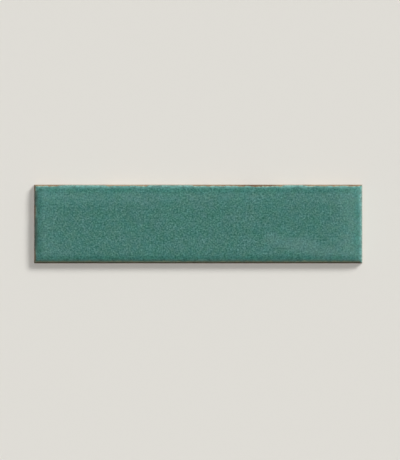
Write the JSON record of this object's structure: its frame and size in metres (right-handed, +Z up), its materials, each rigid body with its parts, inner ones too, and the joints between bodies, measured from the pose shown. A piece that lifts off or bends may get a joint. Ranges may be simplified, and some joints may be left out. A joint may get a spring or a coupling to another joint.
{
  "type": "metro tile",
  "caption": "Long, thin glazed ceramic wall tile with a cushioned green face, bare clay edges and a keyed back for adhesive.",
  "frame": {"origin": "middle of the back, on the plane of the rim and ribs that the tile lies on", "axes": "+X along the tile, +Y across it, +Z up out of the glazed face"},
  "size_m": [0.25, 0.06, 0.009],
  "materials": {
    "glazed_clay": "satin"
  },
  "bodies": {
    "root": {"metro_tile": "glazed_clay"}
  },
  "joints": []
}
